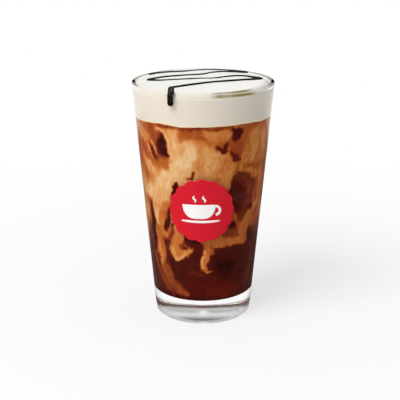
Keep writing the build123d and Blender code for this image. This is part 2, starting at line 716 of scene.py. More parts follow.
# The swirls that face the front, as (amount, softness of the edge, then the route's stops). A stop is
# (angle, height, half width), in degrees and millimetres. Later strokes lie over earlier ones.
FRONT_SWIRLS = [
    # Orange-brown coffee at both sides of the upper part, and the dark below
    (0.55, 9, (-72, 112, 12), (-58, 116, 10), (-44, 126, 5)),
    (0.67, 8, (62, 116, 12), (48, 108, 9), (58, 95, 10), (62, 80, 6)),
    (0.12, 6, (-16, 45, 7), (-22, 33, 6), (0, 27, 8), (22, 44, 7), (48, 38, 10)),
    (0.00, 7, (30, 38, 5)),
    (0.10, 4, (-20, 58, 3.6), (-8, 59, 4), (2, 62, 3)),
    # The milky mass that hangs from the foam, palest at its left
    (0.81, 8, (-27, 113, 5), (-12, 113, 9), (4, 110, 9), (18, 106, 7)),
    (0.90, 8, (-14, 112, 7), (-22, 101, 9), (-36, 94, 9), (-50, 89, 7), (-68, 86, 5)),
    (0.86, 7, (-24, 96, 8), (-38, 86, 7), (-50, 80, 5)),
    (0.80, 8, (2, 104, 9), (4, 90, 8), (0, 76, 9)),
    (0.70, 8, (22, 109, 5), (18, 96, 6), (19, 85, 6), (12, 72, 6)),
    (0.90, 4.5, (-16, 119, 2.4), (-10, 114, 3), (-12, 107, 1.8)),
    (0.72, 4, (-2, 120, 1.8), (-3, 109, 2.2), (-3, 98, 1.4)),
    # The left strand, down to the floor, with its pale edge
    (0.86, 4, (-48, 85, 6), (-53, 73, 4.4), (-56, 61, 3)),
    (0.64, 3, (-40, 78, 4), (-46, 68, 4), (-44, 60, 3)),
    (0.57, 2.6, (-55.5, 62, 3.6), (-53, 46, 3.8), (-50.5, 38, 4.1), (-47, 31.5, 4.0)),
    (0.44, 3.2, (-50, 35, 3.6), (-44, 28, 4.2), (-36, 24.4, 3.6), (-29, 21.6, 2.6),
     (-20, 20.6, 1.6)),
    (0.36, 2.0, (-57, 32, 0.8), (-50, 24, 1.4), (-42, 19.6, 1.2)),
    (0.72, 1.6, (-58, 60, 0.8), (-56, 48, 0.9), (-54.5, 39, 0.5)),
    (0.38, 3, (-70, 60, 1.4), (-67, 44, 1.8), (-62, 32, 1.6), (-52, 22, 1.4)),
    # The hook beside it
    (0.67, 2.2, (-28.5, 70, 4.8), (-29.5, 62, 4.8), (-31.5, 51.5, 4.8), (-29.5, 46, 3.2),
     (-22.5, 48, 2.3), (-15, 51, 1.2)),
    (0.42, 2, (-24.5, 52, 1.4), (-19.5, 53.3, 1.0)),
    (0.80, 1.6, (-35, 50, 0.7), (-31, 43.6, 0.7), (-24, 45.4, 0.7), (-17, 50.4, 0.5)),
    # The arm, its rise at the right and its leg
    (0.64, 2.4, (1, 58, 2.8), (10, 56, 4), (29, 56.5, 3.6), (49, 55.5, 2.6)),
    (0.60, 2.8, (49, 56.5, 2.8), (46, 62, 3.2), (50, 71, 3.4), (49, 77, 1.6)),
    (0.64, 1.8, (6, 54, 3.2), (3.5, 49, 2.7), (1, 43, 2.4), (1.8, 38.6, 1.8),
     (4, 36.6, 1.3), (10, 36.3, 0.6)),
    (0.82, 1.4, (1, 50, 0.5), (-1.2, 44, 0.8), (-0.4, 39.4, 0.5)),
    (0.54, 1.6, (9, 53, 1.0), (11.5, 48.6, 1.0)),
    (0.38, 2.4, (22, 63, 2.8), (33, 62, 3)),
    (0.54, 2, (12, 60.5, 1.3), (19, 60, 1.1)),
    (0.10, 1.6, (13, 64.4, 0.4), (22, 66.5, 1.5), (29, 68, 2), (33.5, 66, 1.7)),
    (0.12, 2.6, (58, 61, 2.2), (60, 55, 2)),
    # The long oval at the right, darkest at its left
    (0.48, 3.5, (59, 92, 3), (62, 82, 3)),
    (0.30, 2.0, (39, 94, 7.4), (42, 88, 9.6), (43, 80, 7.6), (41, 72, 3.2)),
    (0.12, 5, (34, 91, 4.4), (36, 85, 5.6), (37, 78, 2.8)),
    (0.22, 3, (55, 77, 2.4)),
    # The red-brown patch and the hook under the foam at the right
    (0.44, 4, (28.5, 124, 3.6), (30.5, 117, 4.3), (31, 112, 2.8)),
    (0.12, 2.6, (26, 127.6, 1.8), (33, 126.6, 2.8), (29, 123.4, 2.4)),
    (0.22, 2, (25.5, 114.5, 0.9), (29.5, 110.6, 2), (34, 109, 1)),
    (0.22, 1.6, (12, 117.8, 0.9), (17.5, 115, 1.5), (22, 119.4, 1.2)),
    (0.82, 3.6, (65, 122, 2.4), (68, 113, 1.8)),
    (0.54, 4, (55, 110, 2), (46, 105, 2.6), (62, 102, 2.2)),
    (0.74, 3.4, (50, 124, 3.4), (53, 116, 3.2), (51, 108, 2.2)),
    # Amber blocks right under the foam, and painted shade along the foam's lower edge
    (0.85, 3.6, (-27, 127, 3.4), (-24, 116, 4.4)),
    # Painted shade: a dark orange band under the foam's edge
    (0.51, 3.6, (-15, 127.5, 3.2), (-2, 127.5, 3.8)),
    (0.70, 3.4, (5, 127, 3.4), (19, 125, 4.2)),
    # Painted shadow: a thin dark line right under the foam
    (0.34, 1.6, (-40, 129.6, 0.5), (-14, 129.4, 0.9), (6, 129.9, 0.8), (24, 130.4, 0.5)),
    # The pale and brown streaks round the dark window at the left
    (0.74, 4, (-70, 124, 4), (-61, 121, 3.4)),
    (0.82, 4, (-66, 108, 2.4), (-58, 101, 3.4), (-50, 98, 2.6)),
    (0.46, 3.2, (-52, 129, 2.6), (-48, 121, 2.8), (-45, 113, 2)),
    (0.88, 2.2, (-43, 127.6, 1.2), (-36, 126.4, 1.9), (-32, 122.6, 1.7),
     (-31, 116, 1.4), (-31, 110, 0.9)),
    (0.42, 3.0, (-41, 124, 2.6), (-43, 116, 4.2), (-41, 110, 2.4)),
    (0.05, 3.0, (-37.6, 123, 2.0), (-39.2, 118.8, 3.4), (-38, 114.2, 3), (-35, 111.8, 1.4)),
    (0.84, 1.5, (-53, 119, 0.5), (-49, 115, 0.9), (-45.3, 111.4, 0.5)),
    (0.26, 1.9, (-55, 117, 0.8), (-51, 113, 1.4), (-47, 108.4, 1.5)),
    (0.78, 1.5, (-58, 118, 0.6), (-54.5, 113.6, 0.9), (-52, 109, 0.4)),
    (0.46, 1.8, (-67, 114, 1.0), (-60, 108, 0.9)),
    (0.60, 4.5, (-42, 107, 2.6), (-38, 104.6, 2.4)),
    # Dark nicks and tears
    (0.32, 1.5, (-15.2, 98, 0.6), (-11.5, 98, 1.1), (-10, 102, 0.8)),
    (0.08, 1.8, (-26.5, 95, 0.9), (-27, 91.5, 2.3), (-29.5, 87, 2.0), (-32, 83.5, 1.4),
     (-35, 79, 0.9), (-37.6, 74, 1.0), (-39, 70, 1.2), (-44, 64, 1.7)),
    (0.26, 1.8, (-34.5, 66, 1.2), (-36, 60, 0.8), (-40, 53, 1.2), (-43, 49, 1.3),
     (-45.7, 40, 1.6)),
    (0.06, 1.8, (-64, 79, 0.4), (-64, 72, 1.5), (-62.5, 66, 2.0), (-64, 60.5, 1.7),
     (-65, 54, 1.5), (-68, 46, 1.0)),
    # Faint milk low in the drink
    (0.30, 4, (-12, 35.5, 1.4), (3, 33, 0.9)),
    (0.24, 7, (14, 21, 4), (38, 22, 4)),
    (0.28, 6, (68, 50, 2), (68, 35, 2), (60, 23, 1.6)),
]

# Where the drink's colour is plain, at 0, or warm, at 1, in the same form
WARM_PARTS = [
    (0.05, 14, (-30, 100, 8), (-8, 112, 8), (0, 95, 8)),
    (0.9, 6, (28, 120, 4), (31, 112, 4)),
    (0.1, 9, (48, 118, 7), (50, 104, 7)),
    (0.9, 6, (42, 90, 7), (44, 80, 6), (64, 88, 3)),
    (0.1, 6, (-54, 46, 4), (-50, 31, 4), (-30, 22, 3)),
    (0.5, 6, (-31, 60, 5), (2, 48, 4), (30, 56, 5)),
    (1.0, 5, (-76, 116, 3), (-76, 100, 2)),
    (0.9, 8, (-6, 26, 4), (46, 26, 6)),
]


def milk_behind(milk, seed):
    """Paints the swirls round the sides and the back."""
    draw = np.random.default_rng(seed)
    for n in range(9):
        angle = 84 + 24.5 * n + draw.uniform(-5, 5)
        route, top = [], draw.uniform(104, 122)
        wide, height = draw.uniform(5, 9), top
        foot = draw.uniform(24, 60)
        while height > foot:
            share = (top - height) / (top - foot)
            route.append((angle, height, wide * (1 - 0.7 * share)))
            height -= draw.uniform(9, 15)
            angle += draw.uniform(-9, 9)
        route.append((angle + draw.choice((-9, 9)), foot + draw.uniform(-2, 4), 1.4))
        milk.stroke(draw.uniform(0.66, 0.88), draw.uniform(3, 8), *route)
        pale = [(a - draw.uniform(2, 4), h, 0.25 * w) for a, h, w in route]
        milk.stroke(draw.uniform(0.8, 0.95), 1.8, *pale, strength=0.8)
    for n in range(8):
        angle = 86 + 28 * n + draw.uniform(-8, 8)
        height = draw.uniform(78, 124)
        lean, drop = draw.uniform(-7, 7), draw.uniform(12, 24)
        wide = draw.uniform(2.2, 4.6)
        milk.stroke(draw.uniform(0.08, 0.34), draw.uniform(2.2, 4.2), (angle, height, wide * 0.6),
                    (angle + 0.3 * lean, height - drop * 0.4, wide),
                    (angle + lean, height - drop, 0.8))
    for n in range(14):
        angle = 80 + 15 * n + draw.uniform(-5, 5)
        height, lean = draw.uniform(56, 126), draw.uniform(-4, 4)
        milk.stroke(draw.choice((0.34, 0.86)), 2.0, (angle, height, 0.4),
                    (angle + lean, height - draw.uniform(6, 10), 1.2),
                    (angle + 1.6 * lean, height - draw.uniform(14, 20), 0.3))


def coffee_values(points, seed):
    """How milky and how warm each point of the drink's side is, from 0 to 1."""
    milk = Swirls(points)
    height = milk.height + 5 * lumps(milk.points, size=24, seed=71)
    milk.amount = 0.13 + 0.42 * ease_between(46, 72, height)
    milk.amount += 0.10 * cloud(milk.points * (1, 1, 0.35), size=7, seed=73, layers=3) * (0.3 + milk.amount)
    milk_behind(milk, seed)
    for stroke in FRONT_SWIRLS:
        milk.stroke(*stroke)
    drift = np.stack([milk.across, milk.up, milk.across], 1) * 2.2
    vein = 1 - 4.2 * np.abs(cloud((milk.points + drift) * (1, 1, 0.55), size=8, seed=77, layers=2))
    vein = np.clip(vein, 0, 1) ** 2 * ease_between(-0.1, 0.5, lumps(milk.points, size=15, seed=79))
    milky = milk.amount + vein * np.where(milk.amount > 0.45, -0.09, 0.07)
    milky += 0.04 * cloud((milk.points + drift) * (1, 1, 0.28), size=2.6, seed=81, layers=3) * (0.15 + milky)
    warmth = Swirls(points)
    warmth.amount = np.clip(0.35 + 0.6 * cloud(milk.points * (1, 1, 0.5), size=12, seed=83), 0, 1)
    for stroke in WARM_PARTS:
        warmth.stroke(*stroke)
    return np.clip(milky, 0, 1), np.clip(warmth.amount, 0, 1)


UNDER_FOAM = 3.2 * MM  # how far the drink's own body reaches up behind the foam


def make_coffee(settings):
    """The drink, as a closed body whose side lies just inside the wall of the glass."""
    foam = bpy.context.scene.iced_coffee_foam
    rounding = bpy.context.scene.iced_coffee_tumbler.floor_rounding
    floor, level = coffee_low.z, coffee_high.z + UNDER_FOAM + foam.wave
    corner = rounded_outline([
        (0.0, floor, 0), (inner_radius(floor), floor, rounding), (inner_radius(level), level, 0),
        (0.0, level, 0),
    ], steps=20)
    outline = np.vstack([
        divided(corner[:2], longest=2.5 * MM)[:-1], corner[1:-2],
        divided(corner[-3:-1], longest=0.55 * MM)[1:], divided(corner[-2:], longest=6 * MM)[1:],
    ])
    points, faces = turned_grid(outline, around=384)
    milky, warmth = coffee_values(points, settings.swirl_seed)
    centre = np.array((inner_radius(floor + rounding) - rounding, floor + rounding))
    radius = np.hypot(points[:, 0], points[:, 1])
    low = points[:, 2] < centre[1]
    turned = np.arctan2(centre[1] - points[:, 2], radius - centre[0])
    lean = np.where(low & (radius > centre[0]), turned, 0.0)
    lean = np.where(low & (radius <= centre[0]), math.pi / 2, lean)
    out = settings.into_wall + settings.relief * milky
    side = np.stack([points[:, 0], points[:, 1]], 1) / np.maximum(radius, 1e-9)[:, None]
    top = points[:, 2] > level - 1e-6
    shift = np.where(top & (radius < inner_radius(level) - 1e-6), 0.0, out)
    points[:, :2] += side * (np.cos(lean) * shift)[:, None]
    points[:, 2] -= np.sin(lean) * shift
    piece = new_piece("coffee_body", points, faces)
    give_values(piece, "milk", milky)
    give_values(piece, "warmth", warmth)
    place_piece(piece, milky_coffee(settings), "milky_coffee", "coffee")


# How far the foam's underside lies above the drink's level, as (angle, millimetres)
FOAM_DIPS = [
    (-180, 0.3), (-110, 0.6), (-73, 0.5), (-55, 1.0), (-40, 1.9), (-26, 1.2), (-8, 1.1), (10, 1.6),
    (22, 1.7), (34, 2.0), (44, 1.8), (56, 1.5), (70, 1.2), (110, 0.5), (180, 0.3),
]


# How high the cream tint and painted highlight reach up the foam from the drink, from where they end to
# where they are full
EDGE_TINT_AND_HIGHLIGHT_REACH = (1.9 * MM, 0.2 * MM)
FOAM_SWELL = 0.14 * MM
SWELL_FADES = 4 * MM  # the top is level at the wall and swells this far in
# Painted shade on the foam's shoulder under the lip, standing in for the shadowed gap between the foam and
# the wall, darkest at the front right
LIP_SHADE_RING = (4.6 * MM, 3.0 * MM)  # how far in from the wall the painted shade under the lip starts, and is full
LIP_SHADE_DEPTHS = (0.74, 0.5)  # the same below the top, as shares of the shoulder
LIP_SHADE_LEAST = 0.24  # away from the darkest stretch of painted shade
LIP_SHADE_RISES, LIP_SHADE_FALLS = (4, 14), (52, 40)  # angles between which the painted shade is darkest
LIP_SHADE_PATCHES = 0.18


def make_foam(settings):
    """The cold foam, with a flat top, a rounded shoulder and an uneven underside."""
    level, top, shoulder = coffee_high.z, settings.top_height, settings.shoulder
    out = settings.into_wall
    rounded = rounded_outline([
        (inner_radius(level) + out, level, 0), (inner_radius(top) + out, top, shoulder),
        (0.0, top, 0),
    ], steps=14)
    outline = np.vstack([
        [((inner_radius(level) + out) * k / 6, level) for k in range(6)],
        divided(rounded[:2], longest=0.6 * MM), rounded[2:-1],
        divided(rounded[-2:], longest=1.0 * MM)[1:],
    ])
    points, faces = turned_grid(outline, around=320)
    radius = np.hypot(points[:, 0], points[:, 1])
    near_bottom = np.clip((top - points[:, 2]) / (top - level), 0, 1) ** 2
    angle = np.degrees(np.arctan2(points[:, 0], -points[:, 1]))
    dip = np.interp(angle, *np.array(FOAM_DIPS).T) * MM
    dip += settings.wave * cloud(points / MM * (1, 1, 0.2), size=9, seed=81, layers=2)
    points[:, 2] += near_bottom * dip
    # Cream tint with a painted highlight along the foam's lower edge
    edge_tint_and_highlight = ease_between(*EDGE_TINT_AND_HIGHLIGHT_REACH, points[:, 2] - level - dip)
    above = points[:, 2] > top - shoulder
    inside = np.clip((inner_radius(top) - radius) / SWELL_FADES, 0, 1)
    swell = FOAM_SWELL * cloud(points / MM, size=12, seed=91, layers=3)
    points[:, 2] += np.where(above, swell * inside, 0)
    piece = new_piece("cold_foam", points, faces)
    # Painted shade on the shoulder under the lip, darkest at the front right
    ring = ease_between(*LIP_SHADE_RING, inner_radius(top) - radius)
    heights = [top - share * shoulder for share in LIP_SHADE_DEPTHS]
    ring *= ease_between(*heights, points[:, 2])
    lip_shade_strength = ease_between(*LIP_SHADE_RISES, angle) * ease_between(*LIP_SHADE_FALLS, angle)
    lip_shade_strength = LIP_SHADE_LEAST + (1 - LIP_SHADE_LEAST) * lip_shade_strength
    patches = ease_between(-0.5, 0.5, cloud(points / MM, size=9, seed=95, layers=2))
    lip_shade_strength *= 1 - LIP_SHADE_PATCHES + LIP_SHADE_PATCHES * patches
    give_values(piece, "edge_tint_and_highlight", edge_tint_and_highlight)
    give_values(piece, "lip_shade", ring * lip_shade_strength)
    place_piece(piece, cold_foam(settings), "cold_foam", "foam")


def smooth_route(stops, gap):
    """Points along a smooth curve through stops, with their other numbers carried along."""
    stops = np.array(stops, float)
    ends = np.vstack([2 * stops[0] - stops[1], stops, 2 * stops[-1] - stops[-2]])
    route = []
    for a, b, c, d in zip(ends[:-3], ends[1:-2], ends[2:-1], ends[3:]):
        count = max(2, math.ceil(np.linalg.norm((c - b)[:3]) / gap))
        for t in np.arange(count) / count:
            route.append(0.5 * (2 * b + (c - a) * t + (2 * a - 5 * b + 4 * c - d) * t * t
                                + (3 * b - a - 3 * c + d) * t**3))
    route.append(stops[-1])
    return np.array(route)


BEAD_SIDES = 20
BEAD_UNDERSIDE = 0.35  # how deep the bead's underside is, as a share of its height


def bead(route, ups):
    """Points and faces of a rounded bead that follows a route of (x, y, z, half width, height)."""
    around = BEAD_SIDES
    points, faces = [], []
    count = len(route)
    for i, (stop, up) in enumerate(zip(route, ups)):
        ahead = towards(route[min(i + 1, count - 1), :3] - route[max(i - 1, 0), :3])
        side = towards(np.cross(ahead, up))
        stand = np.cross(side, ahead)
        for k in range(around):
            turn = 2 * math.pi * k / around
            lift = math.sin(turn)
            lift = stop[4] * lift if lift > 0 else BEAD_UNDERSIDE * stop[4] * lift
            points.append(stop[:3] + side * stop[3] * math.cos(turn) + stand * lift)
    for i in range(count - 1):
        faces += band(i * around, (i + 1) * around, around)
    start, end = len(points), len(points) + 1
    points += [route[0, :3], route[-1, :3]]
    for k in range(around):
        nxt = (k + 1) % around
        faces.append((start, nxt, k))
        faces.append((end, (count - 1) * around + k, (count - 1) * around + nxt))
    return points, faces


# The sauce's line as (right, back, share of full width), in millimetres from the middle of the foam
SAUCE_LINE = [
    (-35, 20.5, 0.72), (-29.5, 25, 0.76), (-21, 29.5, 0.7), (-12, 32, 0.58), (-3, 36, 0.45),
    (5, 37.6, 0.42), (14, 36, 0.46), (22, 33, 0.62), (27.5, 29, 0.85), (26, 27.5, 0.85),
    (18, 30, 0.6), (10.5, 30, 0.55), (4.8, 27, 0.52), (-0.6, 21.5, 0.56), (-12.7, 17.5, 0.62),
    (-22.6, 13.5, 0.68), (-29.3, 8.1, 0.78), (-33.4, 3.0, 1.0), (-32, 0.6, 0.95), (-25.5, 0.8, 0.6),
    (-19, 2.8, 0.46), (-9.2, 5.6, 0.4), (-2.7, 7.1, 0.4), (5.9, 7.6, 0.46), (13.9, 12.5, 0.55),
    (19.4, 15.6, 0.6), (26, 15.4, 0.65), (31.4, 11.4, 0.8), (35.4, 7.4, 1.05), (33.5, 4.8, 1.0),
    (23.5, 1.8, 0.88), (13.6, -1.8, 0.88), (3.9, -6.2, 0.92), (-5.8, -12.2, 0.95),
    (-12.2, -16.9, 1.0), (-16.6, -20.6, 1.0), (-18.9, -22.6, 1.1), (-19.4, -26.5, 1.12),
    (-19.2, -33.0, 1.12),
]


DRIP_ANGLE = -26.3  # where the sauce runs over the lip
DRIP_START = (-19.3, -35.6)  # its last place on the foam, as (right, back)
BEAD_LEAST, BEAD_GAIN = 0.45, 0.5  # how a bead's height follows its share of full width
BEAD_WAVER = 0.10  # how unevenly the bead is poured, as a share of its width
BEAD_TIP = 0.08  # the least share of its size that either end keeps

# The drip on the wall as (distance below the brim, share of its width, thickness)
DRIP_LINE = [(1.3, 1.0, 1.05), (2.8, 0.98, 1.1), (4.6, 1.02, 1.3), (6.3, 1.04, 1.45), (7.6, 1.0, 1.4)]


def make_sauce(settings):
    """The line of sauce on the foam, and the drip where it runs over the lip and down the wall."""
    foam_top = bpy.context.scene.iced_coffee_foam.top_height
    stops = []
    for right, back, share in SAUCE_LINE:
        stops.append((right * MM, back * MM, foam_top, settings.bead_width / 2 * share,
                      settings.bead_height * (BEAD_LEAST + BEAD_GAIN * share)))
    rim, turn = glass_high.z, math.radians(DRIP_ANGLE)
    out = np.array((math.sin(turn), -math.cos(turn), 0.0))
    half = settings.drip_width / 2
    over = [
        (inner_radius(rim) + 0.9 * MM, rim - 0.05 * MM, 1.0, 1.0),
        (outer_radius(rim) - 0.6 * MM, rim - 0.25 * MM, 1.0, 1.0),
    ]
    for down, share, thick in DRIP_LINE:
        over.append((outer_radius(rim - down * MM) - 0.05 * MM, rim - down * MM, share, thick))
    right, back = DRIP_START
    stops.append((right * MM, back * MM, foam_top - 0.1 * MM, half, 0.95 * MM))
    for radius, height, share, thick in over:
        stops.append((*(out * radius + (0, 0, height)), half * share, thick * MM))
    route = smooth_route(stops, gap=0.45 * MM)
    run = np.append(0, np.cumsum(np.linalg.norm(np.diff(route[:, :3], axis=0), axis=1)))
    short = 1 - np.clip(np.minimum(run, run[-1] - run) / half, 0, 1)
    route[:, 3:5] *= np.maximum(np.sqrt(1 - short**2), BEAD_TIP)[:, None]
    route[:, 3] *= 1 + BEAD_WAVER * lumps(route[:, :3] / MM, size=5, seed=101)
    ups = []
    for stop in route:
        beyond = math.hypot(stop[0], stop[1]) - (inner_radius(rim) + 0.6 * MM)
        share = float(ease_between(0, 2.2 * MM, beyond))
        ups.append(towards(np.array((0, 0, 1.0)) * (1 - share) + out * share))
    points, faces = bead(route, ups)
    piece = new_piece("chocolate_sauce", points, faces)
    place_piece(piece, chocolate(settings), "chocolate_sauce")


# Each cube as (angle, height, lean about its way out, lean sideways, share of full size)
ICE_CUBES = [
    (-39.2, 118.6, 8, 0, 0.36), (30, 118, -14, 6, 0.42), (40, 88, 10, -4, 0.80),
    (104, 112, 20, 5, 0.86), (128, 84, -14, -5, 0.84), (158, 113, 6, 4, 0.9),
    (196, 101, 28, 0, 0.92), (232, 112, -10, -4, 0.84), (262, 92, 16, 6, 0.8),
]


CUBE_CELLS = 16  # along each edge
ICE_PRESS = 2.2 * MM  # a cube is squashed where it is nearer than this to its outer limit
ICE_GIVE = 1.6 * MM  # how softly the squashed part bends round
ICE_DENTS = 0.35 * MM


def melted_cube(half, sharpness):
    """Points and faces of a cube whose edges have melted round."""
    work = bmesh.new()
    bmesh.ops.create_cube(work, size=2)
    bmesh.ops.subdivide_edges(work, edges=work.edges[:], cuts=CUBE_CELLS - 1, use_grid_fill=True)
    points = np.array([tuple(v.co) for v in work.verts])
    work.verts.index_update()
    faces = [tuple(v.index for v in face.verts) for face in work.faces]
    work.free()
    size = (np.abs(points) ** sharpness).sum(1) ** (1 / sharpness)
    return half * points / size[:, None], faces


def make_ice(settings):
    """Ice cubes that press against the wall, as one piece."""
    drink = bpy.context.scene.iced_coffee_drink
    points, faces = np.zeros((0, 3)), []
    for n, (angle, height, spin, tip, share) in enumerate(ICE_CUBES):
        half = settings.edge * share / 2
        cube, cube_faces = melted_cube(half, settings.sharpness)
        wall = inner_radius(height * MM) + settings.into_wall
        about_z, about_y, about_x = (
            Matrix.Rotation(math.radians(turn), 3, axis)
            for turn, axis in ((angle, "Z"), (spin, "Y"), (tip, "X"))
        )
        lie = about_z @ about_y @ about_x
        cube = cube @ np.array(lie).T + on_circle(angle, wall - half, height * MM)
        radius = np.hypot(cube[:, 0], cube[:, 1])
        way = cube[:, :2] / np.maximum(radius, 1e-9)[:, None]
        most = np.vectorize(inner_radius)(cube[:, 2]) + settings.into_wall
        radius = radius + ICE_DENTS * cloud(cube / MM, size=7, seed=200 + n, layers=2)
        past = np.maximum(radius - (most - ICE_PRESS), 0)
        flat = most - ICE_PRESS * np.exp(-past / ICE_GIVE)
        cube[:, :2] = way * np.where(past > 0, flat, radius)[:, None]
        faces += [tuple(i + len(points) for i in face) for face in cube_faces]
        points = np.vstack([points, cube])
    piece = new_piece("ice_cubes", points, faces)
    milky, warmth = coffee_values(points, drink.swirl_seed)
    side = np.vectorize(inner_radius)(points[:, 2]) + drink.into_wall + drink.relief * milky
    proud = np.hypot(points[:, 0], points[:, 1]) - side
    give_values(piece, "milk", milky)
    give_values(piece, "warmth", warmth)
    give_values(piece, "clear", ease_between(-0.05 * MM, 0.42 * MM, proud))
    place_piece(piece, sunk_ice(settings, drink), "ice")


def printed_patch(grid, middle, low, high):
    """Points and faces of a thin printed patch on the wall.

    The grid holds (across, up) places in metres from the patch's middle, an (angle, height). The
    patch's skins lie low and high out from the wall.
    """
    rows, columns = grid.shape[:2]
    slant = wall_slant()
    sheets = []
    for out in (high, low):
        for across, up in grid.reshape(-1, 2):
            height = middle[1] + up * math.cos(slant)
            angle = middle[0] + math.degrees(across / outer_radius(height))
            sheets.append(on_wall(angle, height, out))
    shift = rows * columns
    faces = []
    for i in range(rows - 1):
        for j in range(columns - 1):
            a, b = i * columns + j, i * columns + j + 1
            c, d = b + columns, a + columns
            faces.append((a, b, c, d))
            faces.append((a + shift, d + shift, c + shift, b + shift))
    border = [*range(columns), *range(2 * columns - 1, rows * columns, columns),
              *range(rows * columns - 2, (rows - 1) * columns - 1, -1),
              *range((rows - 2) * columns, 0, -columns)]
    for a, b in zip(border, border[1:] + border[:1]):
        faces.append((a, a + shift, b + shift, b))
    return sheets, faces


SEAL_CELLS = 72
SEAL_LOBES = 16
SCALLOP_DEPTH = 0.055  # as a share of the seal's radius


def seal_grid(radius):
    """A square grid spread over a round seal with a scalloped edge."""
    count = SEAL_CELLS
    grid = np.zeros((count + 1, count + 1, 2))
    for i in range(count + 1):
        for j in range(count + 1):
            a, b = 2 * j / count - 1, 2 * i / count - 1
            reach = max(abs(a), abs(b))
            if reach > 0:
                turn = math.atan2(b, a)
                between = 1 - abs(math.cos(SEAL_LOBES * turn / 2))
                scallop = 1 - SCALLOP_DEPTH * reach**4 * between
                grid[i, j] = np.array((math.cos(turn), math.sin(turn))) * reach * radius * scallop
    return grid


def ribbon_grid(route, count):
    """A grid along a route of (across, up, half width)."""
    route = np.array(route, float)
    grid = np.zeros((len(route), count + 1, 2))
    for i in range(len(route)):
        ahead = towards(route[min(i + 1, len(route) - 1), :2] - route[max(i - 1, 0), :2])
        side = np.array((ahead[1], -ahead[0]))
        for j in range(count + 1):
            grid[i, j] = route[i, :2] + side * route[i, 2] * (2 * j / count - 1)
    return grid


def cup_grids(size):
    """Grids of a plain cup: its bowl, handle and saucer, and two wisps of steam.

    The numbers are shares of the cup's size, from the middle of the mark.
    """
    bowl, handle, saucer = [], [], []
    for k in range(17):
        share = k / 16
        half = 0.30 * math.sqrt(max(0.0, 1 - (1 - share) ** 2.6)) * (0.92 + 0.08 * share) + 0.10
        bowl.append((-0.06, -0.20 + 0.36 * share, half))
    for k in range(19):
        turn = math.radians(-78 + 156 * k / 18)
        handle.append((0.31 + 0.13 * math.cos(turn), 0.015 + 0.115 * math.sin(turn), 0.032))
    for k in range(25):
        share = 2 * k / 24 - 1
        saucer.append((-0.02 + 0.46 * share, -0.275 + 0.02 * share**2, 0.030 * (1 - 0.5 * share**4)))
    grids = [ribbon_grid(bowl, 24), ribbon_grid(handle, 3), ribbon_grid(saucer, 3)]
    for middle in (-0.17, 0.06):
        wisp = []
        for k in range(15):
            share = k / 14
            wisp.append((middle + 0.028 * math.sin(2 * math.pi * share), 0.225 + 0.16 * share,
                         0.024 * math.sin(math.pi * (0.12 + 0.76 * share))))
        grids.append(ribbon_grid(wisp, 3))
    return [grid * size for grid in grids]


MARK_ANGLE = -1.5
CUP_SHARE = 0.62  # the cup's size as a share of the seal's width


def make_mark(settings):
    """A plain scalloped seal with a cup on it, printed on the wall."""
    middle = (MARK_ANGLE, settings.middle_height)
    grid = seal_grid(settings.width / 2)
    points, faces = printed_patch(grid, middle, low=-0.04 * MM, high=0.07 * MM)
    seal = new_piece("printed_seal", points, faces)
    place_piece(seal, enamel("red_enamel", tuple(settings.red)), "printed_mark")
    points, faces = [], []
    for grid in cup_grids(settings.width * CUP_SHARE):
        new_points, new_faces = printed_patch(grid, middle, low=0.03 * MM, high=0.13 * MM)
        faces += [tuple(i + len(points) for i in face) for face in new_faces]
        points += new_points
    cup = new_piece("printed_cup", points, faces)
    place_piece(cup, enamel("white_enamel", tuple(settings.white)), "printed_mark")


# ---------------------------------------------------------------------------
# Stage
# ---------------------------------------------------------------------------


STAGE_RINGS, STAGE_SIDES = 24, 96  # of the floor and the mat
FLOOR_SHADE_ENDS = (0.05, 0.42)  # distances from the glass between which the floor turns all white
FLOOR_WHITE = 0.62  # the floor's least share of plain white, next to the glass
CARD_DISTANCE = 0.8
MAT_HEIGHT = 1.0 * MM
MAT_FADES_FROM = 0.8  # as a share of the mat's radius


def seen_directly(mix):
    """1 for what is seen directly, in a reflection or through glass."""
    path = mix.add("ShaderNodeLightPath")
    seen = mix.number("MAXIMUM", path.outputs["Is Camera Ray"], path.outputs["Is Glossy Ray"])
    return mix.number("MAXIMUM", seen, path.outputs["Is Transmission Ray"])


def make_floor(settings):
    """A pale round floor. It is all white away from the glass and seen through it."""
    rings, around = STAGE_RINGS, STAGE_SIDES
    points, faces = [(0.0, 0.0, 0.0)], []
    for ring in range(1, rings + 1):
        radius = settings.floor_radius * (ring / rings) ** 2
        for k in range(around):
            turn = 2 * math.pi * k / around
            points.append((radius * math.cos(turn), radius * math.sin(turn), 0.0))
    for k in range(around):
        nxt = (k + 1) % around
        faces.append((0, 1 + k, 1 + nxt))
        for ring in range(rings - 1):
            low = 1 + ring * around
            faces.append((low + k, low + around + k, low + around + nxt, low + nxt))
    floor = new_object("floor", points, faces)
    floor.location.z = -0.02 * MM
    material = bpy.data.materials.new("pale_floor")
    mix = Recipe(material)
    matt = mix.add("ShaderNodeBsdfDiffuse", Color=tuple(settings.floor_colour))
    white = mix.add("ShaderNodeEmission", Color=(1, 1, 1), Strength=1.0)
    away = mix.add("ShaderNodeVectorMath", {"operation": "LENGTH"}, Vector=mix.spot())
    away = mix.step(*FLOOR_SHADE_ENDS, away.outputs["Value"])
    share = mix.number("MULTIPLY_ADD", away, 1 - FLOOR_WHITE, FLOOR_WHITE)
    path = mix.add("ShaderNodeLightPath")
    share = mix.number("MAXIMUM", share, path.outputs["Is Transmission Ray"])
    share = mix.number("MULTIPLY", seen_directly(mix), share)
    mix.finish(mix.either(share, matt.outputs[0], white.outputs[0]))
    floor.data.materials.append(material)


